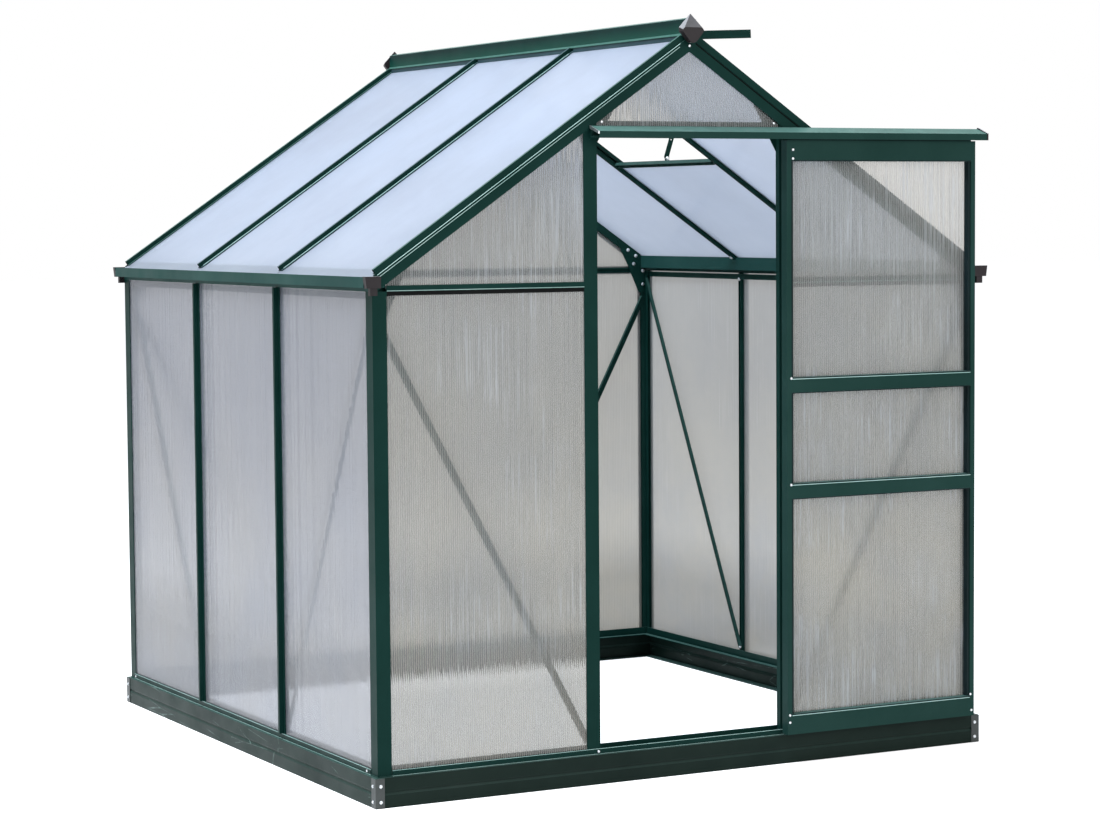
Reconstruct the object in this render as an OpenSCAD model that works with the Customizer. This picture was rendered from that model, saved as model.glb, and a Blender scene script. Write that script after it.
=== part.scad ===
// Polycarbonate greenhouse with a sliding door, a roof vent and a folded steel base.
// +Z is up, the front gable faces -Y, and the origin is the middle of the footprint on the ground.

/* [Building] */
// Width across the front gable, over the corner posts
gable_w = 1870; // [1500:10:2600]
// Distance between the glazing bars along the side walls
bay = 610; // [450:5:800]
// Height from the ground to the top of the gutters
eave_h = 1360; // [1100:10:1800]
// Slope of the roof, in degrees
pitch = 34; // [25:1:40]

/* [Base] */
// Height of the folded steel base
base_h = 79; // [50:1:140]
// How far the base stands out beyond the walls
base_ledge = 10; // [4:1:30]
// Width of the base's inward flanges
base_flange = 32; // [22:1:60]
// Thickness of the folded steel
steel_t = 2; // [1:0.5:3]
// Depth of the crease that stiffens each side of the base
crease = 3; // [1:0.5:5]
// Width of each leg of the corner brackets
bracket_leg = 26; // [18:1:60]
// Thickness of the corner brackets
bracket_t = 1.5; // [1:0.5:3]
// Radius of the anchor holes in the base's bottom flange
anchor_r = 4; // [2:0.5:6]
// Distance of each anchor hole from the end of the side
anchor_inset = 240; // [100:10:400]

/* [Aluminium sections] */
// Wall thickness of the aluminium sections
wall_t = 2; // [1.5:0.5:3]
// Width of the corner posts' faces
post_w = 40; // [34:1:60]
// How much narrower the corner posts are inside
post_step = 8; // [0:1:10]
// Width of the glazing bars' outer flange
bar_w = 28; // [22:1:40]
// Thickness of the glazing bars' web
web_t = 3; // [2:0.5:4]
// Width of the glazing bars' inner flange
bar_back_w = 18; // [14:1:26]
// Width of the nose along the glazing bars
nose_w = 10; // [8:1:16]
// Height of the nose on the wall bars
wall_nose = 13; // [8:1:20]
// Height of the nose on the roof bars
roof_nose = 12; // [8:1:20]
// Depth of the bolt slot behind the glazing bars
slot_d = 8.5; // [8:0.5:16]
// Width of the bolt slot outside its walls
slot_w = 13; // [11:1:20]
// Opening between the lips of the bolt slot
slot_mouth = 7; // [5:0.5:9]
// Height of the bars across the gables
gable_bar_h = 26; // [18:1:34]
// Height of the bar over the doorway
header_h = 20; // [16:1:30]
// Depth of the rafters' drip edge below their top
rafter_nose = 17; // [14:1:26]
// Depth of the rafters' face below their drip edge
rafter_face = 34; // [28:1:46]
// How far the rafters' inner box stops above their lower edge
rafter_lift = 9; // [0:1:12]
// How far the rafters' drip edge stands out
drip = 3; // [1:0.5:4]
// Height of the sill's outer lip
sill_lip = 16; // [10:1:22]
// Height of the sill's inner upstand
sill_back = 24; // [12:1:40]
// Width of the sill
sill_w = 42; // [36:1:60]

/* [Panels] */
// Thickness of the twin-wall sheets
sheet_t = 4; // [3:0.5:6]
// Gap on each face of a sheet in its channel
sheet_gap = 0.5; // [0.2:0.1:1]
// Gap between a sheet's edge and the bottom of its channel
edge_gap = 1; // [0.5:0.5:3]
// How far the roof sheets run past the roof bars
sheet_over = 25; // [10:1:40]

/* [Gutter and ridge] */
// Height of the gutter's outer face
gutter_h = 28; // [20:1:40]
// How far the gutter stands out beyond the wall
gutter_out = 25; // [18:1:40]
// Depth of the eaves beam inside the wall's outer face
eaves_in = 37; // [35:1:60]
// Height of the lips that hold the wall sheets under the gutter
lip_h = 10; // [6:1:16]
// How far the gutter runs past the gable
gutter_over = 5; // [3:1:12]
// Length of the gutter's end caps
cap_l = 16; // [10:1:30]
// Height of the roof's top line over the gutter, at the wall's outer face
roof_lift = 14.5; // [10:0.5:30]
// Half width of the ridge cover
ridge_half = 20; // [16:1:30]
// Height of the ridge cover's face
ridge_face = 43; // [34:1:54]
// How far the ridge cover's lips hang below the line of the bars' tops
cover_drop = 4; // [2:0.5:7]
// Half width of the ridge beam under the cover
ridge_core = 10; // [9:1:15]
// Half width of the ridge's end caps
ridge_cap_half = 35; // [26:1:45]
// Length of the ridge's end caps
ridge_cap_l = 18; // [10:1:30]

/* [Vent] */
// Position of the vent's transom, measured across from the ridge
vent_run = 475; // [300:5:560]
// Angle that the vent stands open
vent_angle = 36.5; // [0:0.5:45]
// Depth of the vent's frame
vent_depth = 25; // [18:1:30]
// Width of the vent's rails
vent_rail = 22; // [16:1:30]
// How far the vent laps past its transom
vent_lap = 20; // [10:1:30]

/* [Door] */
// Clear width of the doorway
door_clear = 565; // [480:5:700]
// Width of the door jambs
jamb_w = 40; // [34:1:60]
// How much wider the door is than its doorway
door_lap = 60; // [35:1:80]
// Depth of the door's frame
door_depth = 28; // [22:1:36]
// Width of the door's stiles
stile_w = 14; // [12:1:30]
// Height of the door's top and bottom rails
door_end_rail = 57; // [40:1:80]
// Height of the door's middle rails
door_mid_rail = 44; // [30:1:60]
// Height of the underside of the lower middle rail above the door's foot
mid_low = 648; // [500:2:750]
// Height of the underside of the upper middle rail above the door's foot
mid_high = 938; // [850:2:1100]
// Gap between the door and what stands behind and below it
door_gap = 6; // [5:0.5:12]
// Radius of the door's rollers
roller_r = 10; // [8:0.5:14]
// Thickness of the door's rollers
roller_w = 6; // [5:0.5:8]
// How far the track runs past the open door
track_over = 30; // [20:1:60]
// How far the track starts before the doorway
track_lead = 20; // [12:1:60]
// Drop of the track's lip below the rafter at the jamb
track_drop = 27.5; // [10:0.5:40]
// Height of the track's front lip
track_lip = 18; // [14:1:30]
// Rise of the track's hood from its lip to the wall
track_rise = 15; // [8:1:24]

/* [Inner frame] */
// Height of the side rails under the eaves
side_rail_h = 17; // [12:1:26]
// Gap between the eaves beam and the side rails
side_rail_drop = 13; // [12:1:40]
// Width of the braces
brace_w = 20; // [14:1:26]
// Depth of the braces' leg
brace_leg = 10; // [6:1:14]
// Thickness of the gusset plates
gusset_t = 2; // [1.5:0.5:3]
// How far the eaves gussets reach along the gable, from the wall's outer face
gusset_reach = 130; // [100:1:180]
// How far the eaves gussets reach down the posts below the gable bar
gusset_drop = 76; // [50:1:120]
// How far the door gussets reach in over the doorway
door_gusset_reach = 66; // [40:1:100]

/* [Hidden] */
$fn = 48;
EPS = 0.01;
BIG = 4000;
BAYS = 3;
wall_x = gable_w / 2;
wall_y = (BAYS * bay + post_w) / 2;
base_x = wall_x + base_ledge;
base_y = wall_y + base_ledge;
bar_y = bay / 2;

// Distances into a wall, from the sill's outer face to each layer
face_d = wall_t;
sheet_d = face_d + wall_t + sheet_gap;
inner_d = sheet_d + sheet_t + sheet_gap;
slot_top_d = inner_d + wall_t;
back_d = slot_top_d + slot_d;

// Heights of the wall
sill_z = base_h;
post_foot = base_h + wall_t;
gutter_z = eave_h - gutter_h;
post_top = gutter_z - lip_h;
gable_bar_z = post_top + wall_t;

// The roof's layers are measured down from the line of the bars' tops
ridge_z = eave_h + roof_lift + wall_x * tan(pitch);
outer_n = -roof_nose;
sheet_n = outer_n - wall_t - sheet_gap;
inner_n = sheet_n - sheet_t - sheet_gap;
slot_top_n = inner_n - wall_t;
back_n = slot_top_n - slot_d;
face_n = -rafter_nose - rafter_face;
box_n = face_n + rafter_lift;
cover_z = roof_z(ridge_half + 2, 0) - cover_drop;
rafter_cover = 14;
glass_n = face_n + rafter_cover;
bar_back = 5;
bar_end = (wall_x - bar_back) / cos(pitch);
sheet_end = bar_end + sheet_over;

// Where the roof's parts stop at the eaves
beam_x = wall_x - eaves_in;
gutter_x = wall_x + gutter_out;
trough_in = 5;
trough_x = wall_x - trough_in;
fit = 0.5;
ridge_end = wall_y + drip + 1;

// The door, its jambs and its track
jamb_in = door_clear / 2;
jamb_x = jamb_in + jamb_w / 2;
jamb_box = 26;
door_w = door_clear + door_lap;
door_x = jamb_in;
door_back = -(wall_y + drip + door_gap);
door_front = door_back - door_depth;
door_foot = base_h + door_gap - 1;
track_z = roof_z(jamb_x, face_n) - track_drop;
track_back = -(wall_y + drip);
track_front = door_front - 14;
track_x0 = -(jamb_in + track_lead);
track_x1 = door_x + door_w + track_over;
ledge_z = track_z + 3;
ledge_front = track_back - wall_t - 13;
door_top = ledge_z - 5;
roller_z = ledge_z + wall_t + roller_r + 0.3;
roller_y = track_back - wall_t - 3 - roller_w / 2;
axle_r = 3;
track_top = track_z + track_lip + track_rise;
header_lap = 6.5;
track_end_t = 4;
clip_h = 7;
head_bar_z = track_top - header_lap + header_h / 2;

frame_green = [0.13, 0.27, 0.23];
base_green = [0.22, 0.32, 0.29];
plastic_grey = [0.2, 0.2, 0.21];
bracket_grey = [0.45, 0.47, 0.46];
sheet_tint = [0.78, 0.83, 0.87, 0.55];
silver = [0.75, 0.76, 0.77];

// Height of a roof layer at a distance from the middle; n is the layer's offset square to the roof
function roof_z(x, n) = ridge_z + n / cos(pitch) - x * tan(pitch);

// ---------- Placing and cutting ----------

module along_x(x0, x1)
{
    translate([x0, 0, 0]) rotate([90, 0, 90]) linear_extrude(x1 - x0) children();
}

module along_y(y0, y1)
{
    translate([0, y1, 0]) rotate([90, 0, 0]) linear_extrude(y1 - y0) children();
}

module upright(z0, z1)
{
    translate([0, 0, z0]) linear_extrude(z1 - z0) children();
}

module both_x()
{
    children();
    mirror([1, 0, 0]) children();
}

module both_y()
{
    children();
    mirror([0, 1, 0]) children();
}

// Local X runs down the right slope from the ridge and local Z stands square to the roof
module on_slope()
{
    translate([0, 0, ridge_z]) rotate([0, pitch, 0]) children();
}

// A rectangle given by its two corners
module box2(x0, y0, x1, y1)
{
    translate([x0, y0]) square([x1 - x0, y1 - y0]);
}

// A mitred length along Y at distance x from the middle; the profile is drawn as [x, z]
module mitred_side(x, y)
{
    intersection() {
        along_y(-y, y) children();
        upright(-1, eave_h) polygon([[0, y - x], [x, y], [x, -y], [0, x - y]]);
    }
}

// A mitred length along X on the +Y side; the profile is drawn as [y, z]
module mitred_end(x, y)
{
    intersection() {
        along_x(-x, x) children();
        upright(-1, eave_h) polygon([[x - y, 0], [x, y], [-x, y], [y - x, 0]]);
    }
}

// ---------- Sections ----------

// Folded steel side of the base, standing inside x = 0 and opening to -x
module base_section()
{
    mid = base_h / 2;
    difference() {
        polygon([[0, 0], [0, mid - 2 * crease], [-crease, mid], [0, mid + 2 * crease], [0, base_h],
            [-base_flange, base_h], [-base_flange, 0]]);
        polygon([[-steel_t, steel_t], [-steel_t, mid - 2 * crease], [-steel_t - crease, mid],
            [-steel_t, mid + 2 * crease], [-steel_t, base_h - steel_t],
            [-base_flange - 1, base_h - steel_t], [-base_flange - 1, steel_t]]);
    }
}

// Sill's floor with an upstand behind the glazing bars; 0 is its outer face
module sill_section()
{
    behind = back_d + 3;
    box2(-sill_w, 0, 0, wall_t);
    box2(-behind - wall_t, 0, -behind, sill_back);
}

// Outer lip of the sill, which stops at the corner posts
module sill_lip_section()
{
    box2(-wall_t, 0, 0, sill_lip);
}

// Back half of a glazing bar: the inner flange with the bolt slot behind it
module bar_back_section(flange)
{
    slot_m = -(slot_top_d - face_d);
    back_m = -(back_d - face_d);
    box2(-flange / 2, slot_m, flange / 2, -(inner_d - face_d));
    for (side = [-1, 1]) {
        translate([side * (slot_w - wall_t) / 2, (slot_m + back_m) / 2])
            square([wall_t, slot_m - back_m], center = true);
        translate([side * (slot_w + slot_mouth) / 4, back_m + wall_t / 2])
            square([(slot_w - slot_mouth) / 2, wall_t], center = true);
    }
}

// Glazing bar: u across the bar, m out of the wall; m = 0 is the outer face of its flange
module glazing_section(flange, nose)
{
    box2(-flange / 2, -wall_t, flange / 2, 0);
    box2(-web_t / 2, -(inner_d - face_d) - EPS, web_t / 2, -wall_t / 2);
    bar_back_section(bar_back_w);
    if (nose > 0) {
        difference() {
            box2(-nose_w / 2, -wall_t / 2, nose_w / 2, nose);
            box2(-nose_w / 2 + wall_t, 0, nose_w / 2 - wall_t, nose - wall_t);
        }
    }
}

// Corner post with its outer corner at 0 and its faces along +x and +y
module post_section()
{
    lip0 = inner_d - face_d;
    back = back_d - face_d;
    edge = post_w - post_step;
    box2(0, 0, post_w, wall_t);
    box2(0, 0, wall_t, post_w);
    difference() {
        box2(lip0, lip0, back, back);
        box2(lip0 + wall_t, lip0 + wall_t, back - wall_t, back - wall_t);
    }
    box2(back - wall_t, 0, back, lip0 + wall_t);
    box2(0, back - wall_t, lip0 + wall_t, back);
    box2(back - wall_t, lip0, edge, lip0 + wall_t);
    box2(lip0, back - wall_t, lip0 + wall_t, edge);
    box2(back - wall_t, back - wall_t, edge, back);
    box2(back - wall_t, back - wall_t, back, edge);
}

// Door jamb: u from the doorway's edge, m into the wall from the jamb's face
module jamb_section()
{
    lip0 = inner_d - face_d;
    back = back_d - face_d;
    difference() {
        box2(0, 0, jamb_box, back);
        box2(wall_t, wall_t, jamb_box - wall_t, back - wall_t);
    }
    box2(jamb_box - wall_t, 0, jamb_w, wall_t);
    box2(jamb_box - wall_t, lip0, jamb_w - wall_t, lip0 + wall_t);
}

// Rafter: w into the building from the gable's outer face, n square to the roof
module rafter_outer_section()
{
    difference() {
        box2(0, outer_n - wall_t, nose_w, 0);
        box2(wall_t, outer_n - wall_t - 1, nose_w - wall_t, -wall_t);
    }
    box2(nose_w - wall_t, outer_n - wall_t, back_d - 1, outer_n);
    box2(-drip, -rafter_nose - 3, wall_t, -rafter_nose);
}

module rafter_face_section()
{
    box2(0, face_n, wall_t, outer_n);
}

module rafter_inner_section()
{
    difference() {
        box2(inner_d, box_n, back_d, inner_n);
        box2(inner_d + wall_t, box_n + wall_t, back_d - wall_t, inner_n - wall_t);
    }
    box2(wall_t / 2, slot_top_n, back_d, inner_n);
}

// Gutter and eaves beam in one, drawn as [x, z] on the right side
module gutter_trough_section()
{
    box2(trough_x, gutter_z, gutter_x, gutter_z + wall_t);
    box2(gutter_x - wall_t, gutter_z, gutter_x, eave_h);
    box2(gutter_x - wall_t - 2, eave_h - wall_t, gutter_x, eave_h);
    box2(trough_x, gutter_z, trough_x + wall_t, gutter_z + 12);
}

module eaves_beam_section()
{
    web_top = roof_z(beam_x + wall_t, slot_top_n) - 0.3;
    box2(beam_x, gutter_z, trough_x + EPS, gutter_z + wall_t);
    box2(beam_x, gutter_z, beam_x + wall_t, web_top);
    box2(wall_x - face_d - wall_t, post_top, wall_x - face_d, gutter_z + EPS);
    box2(wall_x - slot_top_d, post_top, wall_x - inner_d, gutter_z + EPS);
}

// Ridge cover with flared lower lips, drawn as [x, z]
module ridge_cover_section()
{
    side = ridge_half - 2;
    low = cover_z;
    top = low + ridge_face;
    difference() {
        polygon([[0, top + 5], [side, top], [side, low + 6], [ridge_half + 4, low],
            [ridge_half + 2, low - 1], [side - wall_t, low + 4], [-side + wall_t, low + 4],
            [-ridge_half - 2, low - 1], [-ridge_half - 4, low], [-side, low + 6], [-side, top]]);
        polygon([[0, top + 5 - wall_t], [side - wall_t, top - wall_t], [side - wall_t, ridge_z + wall_t],
            [-side + wall_t, ridge_z + wall_t], [-side + wall_t, top - wall_t]]);
        box2(-side + wall_t, low, side - wall_t, ridge_z);
    }
}

// Ridge beam that the roof bars and the sheets run up to
module ridge_core_section()
{
    low = roof_z(ridge_core, back_n);
    difference() {
        box2(-ridge_core, low, ridge_core, ridge_z + wall_t / 2);
        box2(-ridge_core + wall_t, low + wall_t, ridge_core - wall_t, ridge_z);
    }
}

// ---------- Base and sill ----------

module base_side()
{
    difference() {
        mitred_side(base_x - bracket_t, base_y - bracket_t)
            translate([base_x - bracket_t, 0]) base_section();
        for (end = [-1, 1])
            translate([anchor_x(), end * anchor_y(), -1]) cylinder(r = anchor_r, h = steel_t + 2);
    }
}

function anchor_x() = base_x - bracket_t - base_flange / 2 - steel_t / 2;
function anchor_y() = base_y - anchor_inset;

module base_end()
{
    mitred_end(base_x - bracket_t, base_y - bracket_t)
        translate([base_y - bracket_t, 0]) base_section();
}

module base_front() color(base_green) mirror([0, 1, 0]) base_end();
module base_back() color(base_green) base_end();
module base_left() color(base_green) mirror([1, 0, 0]) base_side();
module base_right() color(base_green) base_side();

module base_corner_brackets()
{
    color(bracket_grey) both_x() both_y() upright(1, base_h - 1) translate([base_x, base_y]) difference() {
        box2(-bracket_leg, -bracket_leg, 0, 0);
        box2(-bracket_leg - 1, -bracket_leg - 1, -bracket_t, -bracket_t);
    }
}

module sill_side()
{
    lip_end = wall_y - face_d - post_w - 1;
    translate([0, 0, sill_z]) {
        mitred_side(wall_x, wall_y) translate([wall_x, 0]) sill_section();
        along_y(-lip_end, lip_end) translate([wall_x, 0]) sill_lip_section();
    }
}

module sill_end()
{
    lip_end = wall_x - face_d - post_w - 1;
    translate([0, 0, sill_z]) {
        mitred_end(wall_x, wall_y) translate([wall_y, 0]) sill_section();
        along_x(-lip_end, lip_end) translate([wall_y, 0]) sill_lip_section();
    }
}

module sill_front() color(frame_green) mirror([0, 1, 0]) sill_end();
module sill_back() color(frame_green) sill_end();
module sill_left() color(frame_green) mirror([1, 0, 0]) sill_side();
module sill_right() color(frame_green) sill_side();

// ---------- Walls ----------

module corner_posts()
{
    color(frame_green) both_x() both_y() upright(post_foot, post_top)
        translate([wall_x - face_d, wall_y - face_d]) rotate(180) post_section();
}

// A wall bar on the right wall; its nose starts above the sill's lip
module wall_bar(z1)
{
    upright(post_foot, z1) rotate(-90) glazing_section(bar_w, 0);
    upright(sill_z + sill_lip + 1, z1) rotate(-90) difference() {
        box2(-nose_w / 2, -wall_t / 2, nose_w / 2, wall_nose);
        box2(-nose_w / 2 + wall_t, 0, nose_w / 2 - wall_t, wall_nose - wall_t);
    }
}

module wall_bars_right()
{
    color(frame_green) for (y = [-bar_y, bar_y]) translate([wall_x - face_d, y, 0]) wall_bar(post_top);
}

module wall_bars_left()
{
    color(frame_green) mirror([1, 0, 0])
        for (y = [-bar_y, bar_y]) translate([wall_x - face_d, y, 0]) wall_bar(post_top);
}

// Everything under the rafters' lower edge
module under_rafters(n)
{
    along_y(-BIG, BIG) polygon([[0, roof_z(0, n)], [wall_x, roof_z(wall_x, n)], [wall_x, 0],
        [-wall_x, 0], [-wall_x, roof_z(wall_x, n)]]);
}

module wall_bars_back()
{
    color(frame_green) both_x() difference() {
        intersection() {
            translate([jamb_x, wall_y - face_d, 0]) rotate(90) wall_bar(ridge_z);
            under_rafters(box_n);
        }
        difference() {
            translate([0, wall_y - face_d, 0]) cube([BIG, BIG, BIG]);
            under_rafters(face_n);
        }
    }
}

module door_jambs()
{
    color(frame_green) both_x() intersection() {
        upright(post_foot, ridge_z) translate([jamb_in, -(wall_y - face_d)]) jamb_section();
        under_rafters(box_n);
    }
}

// The header stands behind the sheet over the doorway
module door_header()
{
    color(frame_green) intersection() {
        translate([0, -(wall_y - face_d), head_bar_z]) mirror([0, 1, 0])
            along_x(-jamb_in, jamb_in) rotate(-90) bar_back_section(header_h);
        under_rafters(box_n);
    }
}

// A horizontal bar on the +Y gable
module gable_bar(x0, x1)
{
    translate([0, wall_y - face_d, gable_bar_z]) along_x(x0, x1) rotate(-90) glazing_section(gable_bar_h, 0);
}

module gable_bars_front()
{
    color(frame_green) mirror([0, 1, 0]) both_x() gable_bar(jamb_in + jamb_w, wall_x - face_d - post_w);
}

module gable_bars_back()
{
    color(frame_green) {
        both_x() gable_bar(jamb_x + bar_w / 2, wall_x - face_d - post_w);
        gable_bar(-jamb_x + bar_w / 2, jamb_x - bar_w / 2);
    }
}

// ---------- Eaves ----------

module gutter()
{
    along_y(-wall_y - gutter_over, wall_y + gutter_over) gutter_trough_section();
    along_y(-wall_y + face_d, wall_y - face_d) eaves_beam_section();
}

module gutter_left() color(frame_green) mirror([1, 0, 0]) gutter();
module gutter_right() color(frame_green) gutter();

module gutter_end_caps()
{
    y0 = wall_y + gutter_over;
    color(plastic_grey) both_x() both_y() {
        along_y(y0, y0 + cap_l) polygon([[trough_x - 12, gutter_z - 1], [gutter_x - 2, gutter_z - 1],
            [gutter_x + 2, eave_h + 1], [trough_x - 12, eave_h + 1]]);
        along_y(y0, y0 + cap_l - 3) box2(trough_x - 3, gutter_z - 20, trough_x + 17, gutter_z);
    }
}

module side_rails()
{
    z1 = gutter_z - side_rail_drop;
    x1 = wall_x - back_d;
    y1 = wall_y - face_d - post_w - 9;
    color(frame_green) both_x() along_y(-y1, y1) {
        box2(x1 - wall_t, z1 - side_rail_h, x1, z1);
        box2(x1 - 10, z1 - wall_t, x1, z1);
    }
}

// ---------- Roof ----------

// The space that the ridge cover's lips need
module cover_space()
{
    reach = ridge_half + 5;
    along_y(-BIG, BIG) box2(-reach, cover_z - 2, reach, BIG);
}

module rafter()
{
    difference() {
        intersection() {
            on_slope() along_x(-BIG / 8, bar_end) rafter_outer_section();
            translate([0, -BIG / 2, 0]) cube([BIG, BIG, BIG]);
        }
        cover_space();
    }
    intersection() {
        on_slope() along_x(-BIG / 8, BIG / 2) rafter_face_section();
        translate([0, -BIG / 2, 0]) cube([trough_x - fit, BIG, BIG]);
    }
    intersection() {
        on_slope() along_x(-BIG / 8, BIG / 2) rafter_inner_section();
        translate([0, -BIG / 2, 0]) cube([beam_x - fit, BIG, BIG]);
    }
}

module rafters_front()
{
    color(frame_green) both_x() translate([0, -wall_y, 0]) rafter();
}

module rafters_back()
{
    color(frame_green) mirror([0, 1, 0]) both_x() translate([0, -wall_y, 0]) rafter();
}

// A roof bar on the right slope, standing between the ridge beam and the eaves
module roof_bar()
{
    difference() {
        intersection() {
            on_slope() along_x(0, bar_end) translate([0, outer_n]) intersection() {
                glazing_section(bar_w, roof_nose);
                box2(-bar_w, -(slot_top_d - face_d), bar_w, roof_nose + 1);
            }
            translate([ridge_core, -bar_w, 0]) cube([BIG, 2 * bar_w, BIG]);
        }
        cover_space();
    }
    intersection() {
        on_slope() along_x(0, bar_end) translate([0, outer_n]) intersection() {
            glazing_section(bar_w, 0);
            box2(-bar_w, -slot_d - 100, bar_w, -(inner_d - face_d) - wall_t / 2);
        }
        translate([ridge_core, -bar_w, 0]) cube([beam_x - fit - ridge_core, 2 * bar_w, BIG]);
    }
}

module roof_bars_right()
{
    color(frame_green) for (y = [-bar_y, bar_y]) translate([0, y, 0]) roof_bar();
}

module roof_bars_left()
{
    color(frame_green) mirror([1, 0, 0]) for (y = [-bar_y, bar_y]) translate([0, y, 0]) roof_bar();
}

module ridge()
{
    cover = ridge_end;
    core = wall_y - back_d;
    color(frame_green) {
        along_y(-cover, cover) ridge_cover_section();
        along_y(-core, core) ridge_core_section();
    }
}

// Outline of a ridge end cap over a rounded foot: half width, and heights of its shoulders and its peak
module ridge_cap_outline(half, shoulder, peak_half, peak)
{
    foot_r = 15;
    foot_z = ridge_z - 24;
    hull() {
        polygon([[-half, foot_z + foot_r], [half, foot_z + foot_r], [half, ridge_z + shoulder],
            [peak_half, ridge_z + peak], [-peak_half, ridge_z + peak], [-half, ridge_z + shoulder]]);
        translate([0, foot_z]) circle(r = foot_r);
    }
}

// The caps slope back from a flat front to their peak over the ridge cover
module ridge_end_caps()
{
    y0 = ridge_end;
    color(plastic_grey) both_y() hull() {
        along_y(y0, y0 + 2) ridge_cap_outline(ridge_cap_half, 2, 1, 38);
        along_y(y0 + ridge_cap_l - 2, y0 + ridge_cap_l) ridge_cap_outline(ridge_cap_half - 3, -4, 27, 2);
    }
}

// ---------- Gussets and braces ----------

// Plate in the corner of post, gable bar and rafter, on the right
module eaves_gusset()
{
    back = -(wall_y - back_d);
    post_x = wall_x - back_d - 3.5;
    foot_z = gable_bar_z - gusset_drop;
    top_x = wall_x - gusset_reach;
    face = slot_top_n - wall_t;
    translate([0, back, 0]) mirror([0, 1, 0]) along_y(-gusset_t, 0) polygon([
        [beam_x - 1, roof_z(beam_x - 1, face)], [top_x, roof_z(top_x, face)],
        [top_x + 17, roof_z(top_x + 17, face_n)], [wall_x - post_w - 48, gable_bar_z + 18],
        [wall_x - post_w - 13, foot_z + 16], [wall_x - post_w - 5, foot_z], [post_x, foot_z],
        [post_x, gutter_z - 1], [beam_x - 1, gutter_z - 1]]);
}

// Plate that ties a jamb, the header and a rafter, on the right
module jamb_gusset()
{
    back = -(wall_y - back_d);
    face = slot_top_n - wall_t;
    in_x = jamb_in - door_gusset_reach;
    out_x = jamb_in + jamb_w;
    translate([0, back, 0]) mirror([0, 1, 0]) along_y(-gusset_t, 0) polygon([
        [in_x, roof_z(in_x, face_n)], [in_x - 14, roof_z(in_x - 14, face)],
        [out_x + 15, roof_z(out_x + 15, face)], [out_x, roof_z(out_x, face_n) - 18],
        [jamb_in + jamb_box, track_z - 50], [jamb_in, track_z - 30]]);
}

module gussets_front()
{
    color(frame_green) both_x() {
        eaves_gusset();
        jamb_gusset();
    }
}

module gussets_back()
{
    color(frame_green) mirror([0, 1, 0]) both_x() eaves_gusset();
}

brace_foot = sill_z + sill_back + brace_w / 2;

// Angle section brace from one point to another in the X-Z plane, its back on y = 0 and its leg to +y
module brace(x0, z0, x1, z1)
{
    run = norm([x1 - x0, z1 - z0]);
    translate([x0, 0, z0]) rotate([0, -atan2(z1 - z0, x1 - x0), 0]) along_x(0, run) {
        box2(0, -brace_w / 2, wall_t, brace_w / 2);
        box2(0, brace_w / 2 - wall_t, brace_leg, brace_w / 2);
    }
}

// The two braces of a side wall, drawn along +X and turned onto the right wall
module side_braces()
{
    high_z = gutter_z - side_rail_drop - side_rail_h - 9;
    translate([wall_x - back_d, 0, 0]) rotate(90) both_x()
        brace(bar_y, brace_foot, wall_y - face_d - post_w + post_step + 4, high_z);
}

module braces_right() color(frame_green) side_braces();
module braces_left() color(frame_green) mirror([1, 0, 0]) side_braces();

module gable_braces()
{
    high_z = gable_bar_z - gusset_drop - 16;
    translate([0, -(wall_y - back_d), 0]) both_x()
        brace(jamb_x + 10, brace_foot, wall_x - face_d - post_w + post_step + 4, high_z);
}

module braces_front() color(frame_green) gable_braces();
module braces_back() color(frame_green) mirror([0, 1, 0]) gable_braces();

// ---------- Sheets ----------

// A sheet standing in the right wall from y0 to y1
module side_sheet(y0, y1)
{
    translate([wall_x - sheet_d - sheet_t, y0, post_foot + sheet_gap])
        cube([sheet_t, y1 - y0, gutter_z - edge_gap - post_foot - sheet_gap]);
}

module side_sheets()
{
    post_edge = wall_y - back_d - edge_gap;
    bar_edge = web_t / 2 + edge_gap;
    side_sheet(-post_edge, -bar_y - bar_edge);
    side_sheet(-bar_y + bar_edge, bar_y - bar_edge);
    side_sheet(bar_y + bar_edge, post_edge);
}

module panels_right() color(sheet_tint) side_sheets();
module panels_left() color(sheet_tint) mirror([1, 0, 0]) side_sheets();

// Sheets of the +Y gable: outer ones from x0 to the post, and their uppers under the rafter
module gable_side_sheets(x0)
{
    post_edge = wall_x - back_d - edge_gap;
    bar_edge = web_t / 2 + edge_gap;
    upper_edge = wall_x - face_d - post_w;
    z2 = gable_bar_z + bar_edge;
    translate([0, wall_y - sheet_d - sheet_t, 0]) along_y(0, sheet_t) {
        box2(x0, post_foot + sheet_gap, post_edge, gable_bar_z - bar_edge);
        polygon([[x0, z2], [upper_edge, z2], [upper_edge, roof_z(upper_edge, glass_n)],
            [x0, roof_z(x0, glass_n)]]);
    }
}

module panels_front()
{
    x1 = jamb_in - edge_gap;
    z1 = track_top + edge_gap;
    color(sheet_tint) mirror([0, 1, 0]) {
        both_x() gable_side_sheets(jamb_in + jamb_box + edge_gap);
        translate([0, wall_y - sheet_d - sheet_t, 0]) along_y(0, sheet_t) intersection() {
            polygon([[-x1, z1], [x1, z1], [x1, ridge_z], [-x1, ridge_z]]);
            polygon([[0, roof_z(0, glass_n)], [wall_x, roof_z(wall_x, glass_n)],
                [-wall_x, roof_z(wall_x, glass_n)]]);
        }
    }
}

module panels_back()
{
    bar_edge = web_t / 2 + edge_gap;
    x1 = jamb_x - bar_edge;
    z1 = gable_bar_z - bar_edge;
    z2 = gable_bar_z + bar_edge;
    color(sheet_tint) {
        both_x() gable_side_sheets(jamb_x + bar_edge);
        translate([0, wall_y - sheet_d - sheet_t, 0]) along_y(0, sheet_t) {
            box2(-x1, post_foot + sheet_gap, x1, z1);
            polygon([[-x1, z2], [x1, z2], [x1, roof_z(x1, glass_n)], [0, roof_z(0, glass_n)],
                [-x1, roof_z(x1, glass_n)]]);
        }
    }
}

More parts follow.
